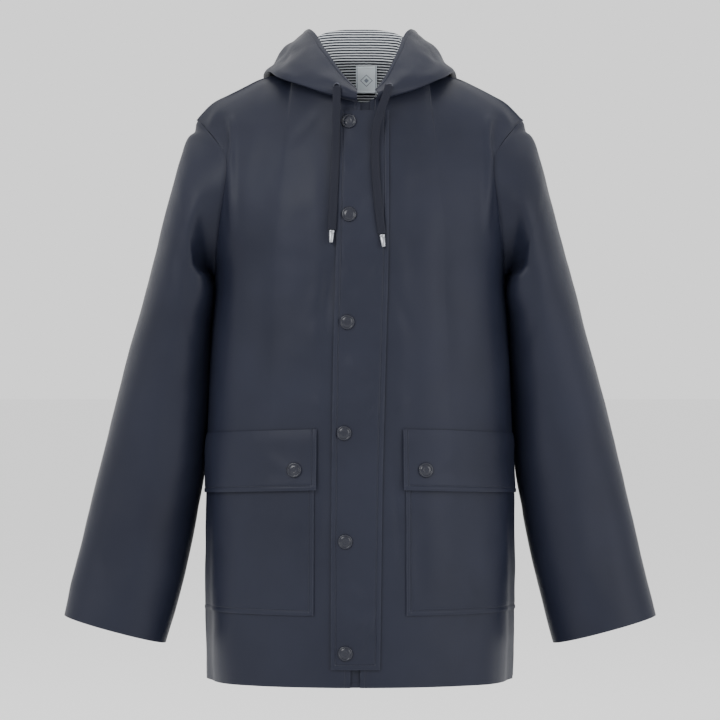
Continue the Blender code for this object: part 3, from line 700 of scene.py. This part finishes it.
def make_sleeve(side_name, side):
    """One sleeve, a tube of cloth let out at its head so that it meets the armhole."""
    seed = (side * 0.45, 0.0, -0.35)
    points = cad_grid(f"sleeve_{side_name}", seed, (side * 0.170, -0.02, -0.237), (0, -1, 0))
    points = finer(points, 10, 8, closed=True)
    way = points[0] - points[1]
    way /= np.linalg.norm(way, axis=1, keepdims=True)
    normals = facing(points, seed)
    points[0] += way * 0.0034 - normals[0] * 0.0012
    folds = [(x1 * side, h1, x2 * side, h2, w, d) for x1, h1, x2, h2, w, d in SLEEVE_FOLDS]
    turned = [(x1 * side * 1.03, h1 - 0.03, x2 * side * 0.98, h2 - 0.02, w * 1.2, d * 1.2)
              for x1, h1, x2, h2, w, d in SLEEVE_FOLDS]
    before = np.clip(-normals[..., 1], 0, 1)
    behind = np.clip(normals[..., 1], 0, 1)
    lift = fold_relief(points, folds) * before + fold_relief(points, turned) * behind
    lift += rumple(points, 0.070, 0.0016, 31.0 + side) + rumple(points, 0.022, 0.0003, 5.0)
    height = points[..., 2] + NECK_POINT_HEIGHT
    closing = BODY_GAP + UNDERARM_GAP * np.exp(-(((height - UNDERARM_HEIGHT) / 0.026) ** 2))
    closing *= np.clip((0.480 - height) / 0.012, 0, 1) * np.clip((height - 0.200) / 0.050, 0, 1)
    lift += closing * np.clip(-normals[..., 0] * side, 0, 1) ** 2
    lift *= np.clip(reach(points, 0) / 0.02, 0, 1)
    lift[:, -1] = lift[:, 0]
    points = points + normals * lift[..., None]
    sew(f"shell_sleeve_{side_name}", points, normals, SHELL_WALL, coated_cotton,
        f"sleeve_{side_name}", tube=True)


for side_name, side in (("left", 1), ("right", -1)):
    make_sleeve(side_name, side)


# Storm flap and stitching
# ---------------------------------------------------------------------------------------------
# A doubled strip sewn to the left front, which covers the opening and snaps to the right front.
# Both long edges and the foot are turned and topstitched, so they stand up as a soft roll.
FLAP_FOLDS = [
    (-0.0250, 0.600, -0.0120, 0.586, 0.0060, 0.0010),
    (-0.0080, 0.556, 0.0140, 0.544, 0.0070, -0.0009),
    (-0.0220, 0.500, -0.0100, 0.470, 0.0055, 0.0012),
    (0.0260, 0.486, 0.0140, 0.462, 0.0060, -0.0010),
    (-0.0240, 0.388, -0.0120, 0.366, 0.0060, -0.0012),
    (-0.0180, 0.372, 0.0020, 0.352, 0.0070, 0.0011),
    (0.0200, 0.352, -0.0040, 0.336, 0.0100, -0.0014),
    (0.0230, 0.324, 0.0120, 0.302, 0.0055, 0.0012),
    (-0.0220, 0.262, -0.0060, 0.248, 0.0060, 0.0010),
    (-0.0250, 0.190, -0.0120, 0.150, 0.0060, -0.0010),
    (-0.0180, 0.120, 0.0020, 0.098, 0.0080, 0.0012),
    (0.0160, 0.082, -0.0020, 0.044, 0.0070, 0.0016),
    (0.0190, 0.066, 0.0040, 0.034, 0.0050, -0.0013),
]
STITCH_LENGTH = 0.0026
STITCH_PITCH = 0.0034
THREAD = 0.00022


def thread_material():
    thread = Finish("sewing_thread")
    place = thread.node("TexCoord")["Object"]
    twist = thread.node("TexWave", {"Scale": 900.0, "Vector": place})["Fac"]
    thread.shade(Base_Color=thread.mixed(twist, (0.010, 0.012, 0.020), (0.024, 0.027, 0.042)),
                 Roughness=0.55)
    return thread.material


sewing_thread = thread_material()


def line_inside(points, normals, border, inset, trim=0.0):
    """A line on the cloth that keeps one distance from a border, with the cloth's normals."""
    if border in ("bottom", "top"):
        points, normals = points.transpose(1, 0, 2), normals.transpose(1, 0, 2)
        border = {"bottom": "first", "top": "last"}[border]
    if border == "last":
        points, normals = points[:, ::-1], normals[:, ::-1]
    far = reach(points, 1)
    line, out = [], []
    for row in range(points.shape[0]):
        line.append([np.interp(inset, far[row], points[row, :, k]) for k in range(3)])
        out.append([np.interp(inset, far[row], normals[row, :, k]) for k in range(3)])
    line, out = np.array(line), np.array(out)
    along = np.concatenate([[0.0], np.cumsum(np.linalg.norm(np.diff(line, axis=0), axis=1))])
    kept = np.arange(trim, along[-1] - trim, STITCH_PITCH)
    return (np.array([[np.interp(s, along, line[:, k]) for k in range(3)] for s in kept]),
            np.array([[np.interp(s, along, out[:, k]) for k in range(3)] for s in kept]))


def stitch(name, lines):
    """One mesh of all the stitches along several lines: short threads, sunk at both ends."""
    shape = bmesh.new()
    profile = [(-0.5, 0.15, -1.4), (-0.36, 0.8, -0.3), (-0.12, 1.0, 0.25), (0.12, 1.0, 0.25),
               (0.36, 0.8, -0.3), (0.5, 0.15, -1.4)]
    for line, out in lines:
        ways = np.gradient(line, axis=0)
        for place, normal, way in zip(line, out, ways):
            way = way / np.linalg.norm(way)
            normal = normal / np.linalg.norm(normal)
            across = np.cross(way, normal)
            rings = []
            for share, girth, rise in profile:
                middle = place + way * share * STITCH_LENGTH + normal * rise * THREAD
                rings.append([shape.verts.new(middle + (across * math.cos(t) + normal
                              * math.sin(t)) * girth * THREAD)
                              for t in np.linspace(0, 2 * math.pi, 6, endpoint=False)])
            for low, high in zip(rings, rings[1:]):
                for k in range(6):
                    shape.faces.new((low[k], low[(k + 1) % 6], high[(k + 1) % 6], high[k]))
            shape.faces.new(rings[0])
            shape.faces.new(rings[-1])
    bmesh.ops.recalc_face_normals(shape, faces=shape.faces)
    mesh = bpy.data.meshes.new(name)
    shape.to_mesh(mesh)
    shape.free()
    mesh.shade_smooth()
    piece = finish_mesh(name, mesh, sewing_thread)
    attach(piece, "root")
    return piece


flap_seed = (0.0, -0.4, -0.3)
flap_points = cad_grid("storm_flap", flap_seed, (-0.0328, -0.142, -0.686), (1, 0, 0), 5)
flap_points = finer(flap_points, 18, 14)
flap_normals = facing(flap_points, flap_seed)
flap_edge = edge_distance(flap_points, ("first", "last", "bottom"))
flap_lift = front_relief(flap_points) + edge_roll(flap_edge)
flap_lift += fold_relief(flap_points, FLAP_FOLDS) * np.clip(flap_edge / 0.008, 0, 1)
flap_lift += rumple(flap_points, 0.016, 0.0005, 44.0)
flap_points = flap_points + flap_normals * flap_lift[..., None]
sew("shell_storm_flap", flap_points, flap_normals, SHELL_WALL, coated_cotton, "storm_flap",
    borders=("first", "last", "bottom"))
stitch("stitches_storm_flap",
       [line_inside(flap_points, flap_normals, border, STITCH_INSET, STITCH_INSET)
        for border in ("first", "last", "bottom")])


# Pockets
# ---------------------------------------------------------------------------------------------
# A patch pocket on each front, sewn into the side seam, under a separate flap that snaps shut.
# The inner edge of both has two rows of stitches, and the foot has one.
PATCH_WALL = 0.0010
POCKET_FOLDS = [
    (0.0900, 0.200, 0.0980, 0.110, 0.0160, 0.0012),
    (0.1180, 0.120, 0.1360, 0.088, 0.0090, 0.0014),
    (0.1520, 0.230, 0.1580, 0.120, 0.0140, -0.0012),
    (0.0660, 0.190, 0.0680, 0.110, 0.0090, -0.0010),
    (0.0760, 0.238, 0.1040, 0.262, 0.0080, 0.0008),
]


def make_patch(node, name, side, corner, foot_swell, borders):
    """A pocket or its flap. It takes the relief of the front that it is sewn on, and its foot
    stands out by the swell."""
    seed = (side * 0.1, -0.4, -0.45)
    points = cad_grid(node, seed, (side * corner[0], *corner[1:]), (side, 0, 0), 11,
                      wall=PATCH_WALL)
    points = finer(points, 14 if foot_swell < 0.002 else 22, 7)
    normals = facing(points, seed)
    edge = edge_distance(points, borders)
    lift = front_relief(points) + edge_roll(edge)
    lift += fold_relief(points, POCKET_FOLDS, mirror=True) * np.clip(edge / 0.01, 0, 1)
    far = reach(points, 0)
    lift += foot_swell * np.exp(-((far / 0.016) ** 2)) * np.clip(reach(points, 1)[:, -1:]
                                                                - reach(points, 1), 0, 0.02) / 0.02
    points = points + normals * lift[..., None]
    sew(name, points, normals, PATCH_WALL, coated_cotton, node, borders=borders)
    lines = [line_inside(points, normals, border, STITCH_INSET, STITCH_INSET * 0.6)
             for border in borders]
    lines.append(line_inside(points, normals, "first", 0.0012, 0.001))
    stitch(f"stitches_{node}", lines)
    return points, normals


flap_tops = {}
for side_name, side in (("left", 1), ("right", -1)):
    make_patch(f"pocket_{side_name}", f"patch_pocket_{side_name}", side,
               (0.052, -0.137, -0.625), 0.0, ("first", "bottom"))
    flap_tops[side_name] = make_patch(f"pocket_flap_{side_name}", f"pocket_cover_{side_name}",
                                      side, (0.048, -0.137, -0.484), 0.0022,
                                      ("first", "bottom"))


# Hood
# ---------------------------------------------------------------------------------------------
# Three shell panels, two sides and a centre strip, lined all over with striped jersey. The hood
# lies back on the shoulders: it folds over its own crest and hangs behind as a soft pouch.
LINING_WALL = 0.0008
LINING_DEPTH = SHELL_WALL + 0.0003
# where the crest lies between the neck seam and the opening: beyond it the hood has fallen back
CREST_SHARE = 0.62
STRIPE_PITCH = 0.0034
WALE_PITCH = 0.0008
COURSE_PITCH = 0.0006
STRIPE_SLANT = math.radians(22)
HOOD_BACK_FOLDS = [
    (0.0000, 0.640, 0.0480, 0.668, 0.0090, 0.0034),
    (-0.0520, 0.672, -0.0060, 0.634, 0.0085, 0.0030),
    (0.0100, 0.612, 0.0560, 0.640, 0.0080, -0.0030),
    (-0.0620, 0.640, -0.0140, 0.606, 0.0080, -0.0028),
    (0.0400, 0.710, 0.0760, 0.735, 0.0100, 0.0026),
    (-0.0440, 0.705, -0.0800, 0.738, 0.0100, 0.0030),
    (0.0080, 0.700, 0.0030, 0.660, 0.0080, -0.0016),
]
HOOD_SIDE_FOLDS = [
    (-0.0700, 0.694, -0.0250, 0.716, 0.0050, 0.0024),
    (-0.0560, 0.702, -0.0100, 0.728, 0.0045, -0.0022),
    (-0.0200, 0.730, 0.0180, 0.742, 0.0060, 0.0028),
    (0.0060, 0.716, 0.0420, 0.722, 0.0070, -0.0030),
    (0.0200, 0.736, 0.0600, 0.748, 0.0070, 0.0026),
]


def striped_material():
    """Fine jersey, yarn-dyed in even navy and white stripes across the cloth's own length."""
    jersey = Finish("striped_jersey_lining")
    whole, across, along = jersey.chart()

    def wave(value, pitch):
        return jersey.step("SINE", jersey.step("MULTIPLY", value, 2 * math.pi / pitch))

    wander = jersey.step("MULTIPLY", jersey.noise(160.0, 2.0, whole), 0.0005)
    stripes = wave(jersey.step("ADD", along, wander), STRIPE_PITCH)
    white_share = jersey.ranged(stripes, 0.0, 1.0, 0.05, 0.50, interpolation_type="SMOOTHSTEP")
    stitches = jersey.step("MULTIPLY", wave(across, WALE_PITCH), wave(along, COURSE_PITCH))
    jersey.shade(
        Base_Color=jersey.mixed(white_share, (0.0055, 0.0075, 0.0150), (0.60, 0.63, 0.66)),
        Normal=jersey.bumped(stitches, 0.5, 0.0002), Roughness=0.92, Specular_IOR_Level=0.2,
        Sheen_Weight=0.1)
    return jersey.material


striped_jersey = striped_material()


def make_hood_panel(node, seed, corner, along, columns, folds, across, bias, lining_gaps):
    """A shell panel and its lining. Folds are read along X, or along Y where across is 1, and the
    bias is how far the lining's stripes slant."""
    points = cad_grid(node, seed, corner, along, columns)
    points = finer(points, 7, 7)
    points = stretched(points, {"first": 0.0006, "last": 0.0006, "bottom": 0.0040})
    normals = facing(points, seed)
    rim = np.clip(edge_distance(points, ("first", "last", "bottom")) / 0.012, 0, 1)
    shares = np.linspace(0, 1, points.shape[0])[:, None]
    fallen = np.clip((shares - CREST_SHARE) / 0.10, 0, 1)
    lift = fold_relief(points, folds, across=across) * fallen
    lift += rumple(points, 0.045, 0.0018, 61.0) + rumple(points, 0.016, 0.0004, 14.0)
    opening = edge_distance(points, ("top",))
    lift = lift * rim * np.clip(0.25 + opening / 0.02, 0, 1) * np.clip(shares / 0.2, 0.15, 1)
    points = points + normals * lift[..., None]
    rolled = points + normals * (edge_roll(opening) * 0.6)[..., None]
    sew(f"shell_{node}", rolled, normals, SHELL_WALL, coated_cotton, node, borders=("top",))
    tuck = 0.0022 * np.exp(-((edge_distance(points, ("first", "bottom")) / 0.008) ** 2))
    depth = LINING_DEPTH + (tuck if bias else np.zeros(tuck.shape))
    lined = stretched(points - normals * depth[..., None], lining_gaps)
    lined_normals = -facing(lined, seed)
    wide, long = reach(lined, 1), reach(lined, 0)
    spread = np.dstack([wide * math.cos(bias) - long * math.sin(bias),
                        long * math.cos(bias) + wide * math.sin(bias)])
    sew(f"jersey_{node}", lined, lined_normals, -LINING_WALL, striped_jersey, f"lining_{node}",
        spread=spread)


for side_name, side, corner in (("left", 1, (0.0180, -0.086, -0.0360)),
                                ("right", -1, (-0.0035, -0.085, -0.0430))):
    make_hood_panel(f"hood_side_{side_name}", (side * 0.20, -0.05, 0.0), corner, (side, 0, 0), 11,
                    HOOD_SIDE_FOLDS, 1, STRIPE_SLANT,
                    {"top": -0.0010, "bottom": -0.0052, "first": -0.0040})
make_hood_panel("hood_centre", (0.0, 0.40, -0.05), (0.040, 0.067, 0.021), (-1, 0.5, 0), 9,
                HOOD_BACK_FOLDS, 0, 0.0, {"top": -0.0010, "bottom": -0.0012})


# Back neck lining and label
# ---------------------------------------------------------------------------------------------
# The same jersey faces the inside of the back, eased a little into the neck seam. A woven satin
# label, folded in at its ends, is sewn on below that seam.
def make_back_lining():
    seed = (0.0, 0.0, -0.05)
    points = cad_grid("lining_back_neck", seed, (-0.09, 0.1, -0.19), (1, 0, 0), 11,
                      wall=0.001)
    points = stretched(finer(points, 10, 12), {"top": 0.0040})
    normals = facing(points, seed)
    below = reach(points, 0)[-1:] - reach(points, 0)
    gathers = np.sin(points[..., 0] / 0.0075 * 2 * math.pi + 1.5 * np.sin(points[..., 0] * 90))
    lift = 0.0004 * gathers * np.exp(-below / 0.010) + rumple(points, 0.03, 0.0005, 71.0)
    points = points + normals * lift[..., None]
    sew("jersey_back_neck", points, normals, LINING_WALL, striped_jersey, "lining_back_neck")


make_back_lining()


def label_material():
    """Satin ribbon, pale grey-blue, with a darker woven frame and a plain diamond."""
    ribbon = Finish("label_satin")
    _, across, along = ribbon.chart()
    from_middle = ribbon.step("ABSOLUTE", ribbon.step("ADD", along, -0.0155))
    beside = ribbon.step("ABSOLUTE", across)
    diamond = ribbon.step("ADD", beside, from_middle)
    outline = ribbon.step("COMPARE", diamond, 0.0070, 0.0006)
    heart = ribbon.step("LESS_THAN", diamond, 0.0030)
    frame_line = ribbon.step("COMPARE", beside, 0.0112, 0.0004)
    motif = ribbon.step("MAXIMUM", ribbon.step("MAXIMUM", outline, heart), frame_line)
    ribs = ribbon.step("SINE", ribbon.step("MULTIPLY", along, 2 * math.pi / 0.0005))
    ribbon.shade(Base_Color=ribbon.mixed(ribbon.step("MULTIPLY", motif, 0.75),
                                         (0.74, 0.81, 0.86), (0.10, 0.13, 0.20)),
                 Normal=ribbon.bumped(ribs, 0.4, 0.0001), Roughness=0.5)
    return ribbon.material


label_seed = (0.008, 0.03, 0.0)
label_points = cad_grid("label", label_seed, (-0.005, 0.077, -0.016), (1, 0, 0), 4, wall=0.0008)
label_points = finer(label_points, 14, 12)
label_normals = facing(label_points, label_seed)
label_edge = edge_distance(label_points, ("first", "last", "bottom", "top"))
label_lift = 0.0004 * np.exp(-(((label_edge - 0.0012) / 0.0009) ** 2))
label_lift += rumple(label_points, 0.014, 0.0007, 81.0) + 0.0006
label_points = label_points + label_normals * label_lift[..., None]
sew("woven_label", label_points, label_normals, 0.0005, label_material(), "label")


# Snaps
# ---------------------------------------------------------------------------------------------
# Press-stud caps stamped from brass and lacquered dark navy: a rolled rim, a shallow ditch and a
# domed middle with a plain raised ring. Six close the storm flap and one closes each pocket.
SNAP_RADIUS = 0.0085
SNAP_PLATE = 0.0012
SNAP_SEAT = 0.0009
# each ring's width, and how far it rises from the one outside it
SNAP_RINGS = [(0.0005, 0.0005), (0.0006, 0.0003), (0.0007, -0.0001), (0.0004, -0.0003),
              (0.0004, 0.0003), (0.0012, 0.0004), (0.0011, 0.0002), (0.0003, 0.0001),
              (0.0003, -0.0001), (0.0012, 0.0001), (0.0008, 0.0000)]


def lacquer_material():
    lacquer = Finish("snap_lacquer")
    specks = lacquer.noise(600.0, 4.0)
    lacquer.shade(Base_Color=lacquer.mixed(specks, (0.0065, 0.0074, 0.0135),
                                           (0.0115, 0.0130, 0.0220)),
                  Roughness=lacquer.ranged(specks, 0.16, 0.26), Specular_IOR_Level=0.34)
    return lacquer.material


deselect()
bpy.ops.mesh.primitive_cylinder_add(vertices=48, radius=SNAP_RADIUS, depth=SNAP_PLATE,
                                    location=(0.0, 0.0, 0.0))
snap_model = bpy.context.object
bpy.ops.object.mode_set(mode="EDIT")
bpy.ops.mesh.select_mode(type="FACE")
bpy.ops.mesh.select_all(action="DESELECT")
snap_shape = bmesh.from_edit_mesh(snap_model.data)
for face in snap_shape.faces:
    face.select_set(face.calc_center_median().z > SNAP_PLATE * 0.4)
bmesh.update_edit_mesh(snap_model.data)
for width, rise in SNAP_RINGS:
    bpy.ops.mesh.inset(thickness=width, depth=0.0)
    bpy.ops.transform.translate(value=(0.0, 0.0, rise))
bpy.ops.mesh.poke()
bpy.ops.object.mode_set(mode="OBJECT")
snap_model.data.shade_smooth()
snap_model.data.set_sharp_from_angle(angle=math.radians(50))
snap_model.data.materials.append(lacquer_material())


def surface_tree(*grids):
    """A search tree over the faces of one or more tables of points."""
    verts, faces = [], []
    for points in grids:
        rows, columns, _ = points.shape
        base = len(verts)
        verts += [Vector(place) for place in points.reshape(-1, 3)]
        faces += [(base + i * columns + j, base + i * columns + j + 1,
                   base + (i + 1) * columns + j + 1, base + (i + 1) * columns + j)
                  for i in range(rows - 1) for j in range(columns - 1)]
    return BVHTree.FromPolygons(verts, faces)


flap_surface = surface_tree(flap_points)
pocket_surface = surface_tree(flap_tops["left"][0], flap_tops["right"][0])
snap_nodes = {f"snap_{i}": flap_surface for i in range(1, 7)}
snap_nodes.update({f"pocket_snap_{side}": pocket_surface for side in ("left", "right")})
for node, surface in snap_nodes.items():
    low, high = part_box(node)
    middle = (Vector(low) + Vector(high)) / 2
    place, normal, _, _ = surface.find_nearest(middle)
    if normal.dot(middle) < 0:
        normal = -normal
    snap = bpy.data.objects.new(f"cap_{node}", snap_model.data.copy())
    bpy.context.scene.collection.objects.link(snap)
    turned = normal.to_track_quat("Z", "Y").to_matrix().to_4x4()
    turned.translation = place + normal * SNAP_SEAT
    snap.data.transform(turned)
    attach(snap, "root")
    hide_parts(node)
bpy.data.objects.remove(snap_model, do_unlink=True)


# Eyelets
# ---------------------------------------------------------------------------------------------
# Small rolled metal eyelets clenched through the hood's edge, where each drawcord comes out.
eyelet_metal = metal_material("dark_eyelet_metal", (0.060, 0.063, 0.080), 0.34)
for side_name in CORD_ROUTES:
    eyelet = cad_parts[f"eyelet_{side_name}"]
    for slot in eyelet.material_slots:
        slot.material = eyelet_metal
